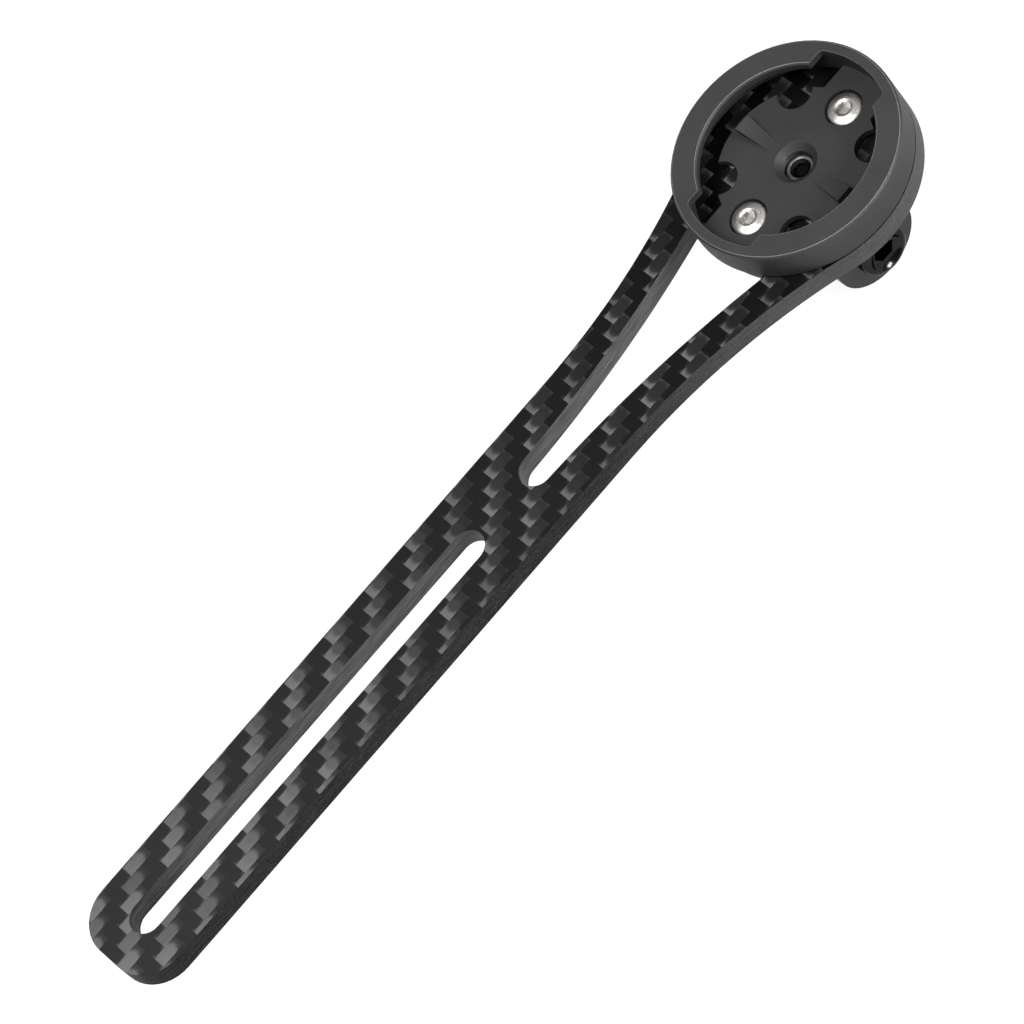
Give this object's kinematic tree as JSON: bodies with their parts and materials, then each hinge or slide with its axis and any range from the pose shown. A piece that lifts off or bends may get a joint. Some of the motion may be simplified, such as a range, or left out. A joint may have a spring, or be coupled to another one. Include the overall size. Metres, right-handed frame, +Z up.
{
  "type": "cycling computer mount",
  "caption": "Out-front mount: a flat carbon arm with a long bolt slot forks to a round head with a quarter-turn seat on top and a three-prong camera bracket below.",
  "frame": {"origin": "top face of the arm, on its centreline, in the middle of the solid web between the bolt slot and the fork", "axes": "+Y along the arm towards the head, +Z up out of the arm's top face, +X to the right, where the camera screw's head is"},
  "size_m": [0.0364, 0.1712, 0.0299],
  "materials": {
    "carbon_twill": "satin lacquer over 2x2 twill carbon fibre",
    "moulded_nylon": "fine spark-eroded grain, dark grey",
    "gloss_nylon": "smooth black moulding",
    "stainless_steel": "bright stainless",
    "blackened_steel": "black oxide, lightly oiled",
    "brass": "turned and knurled brass"
  },
  "bodies": {
    "mount": {"arm_plate": "carbon_twill", "quarter_turn_seat": "moulded_nylon", "seat_screw_front": "stainless_steel", "seat_screw_rear": "stainless_steel", "centre_screw": "blackened_steel", "thread_insert_front": "brass", "thread_insert_rear": "brass", "thread_insert_centre": "brass", "camera_bracket": "gloss_nylon", "camera_nut": "stainless_steel"},
    "camera_screw": {"camera_screw": "blackened_steel"}
  },
  "joints": [
    {"name": "camera_screw_slide", "type": "slide", "parent": "mount", "child": "camera_screw", "axis": [1, 0, 0], "range_m": [0, 0.021]}
  ]
}
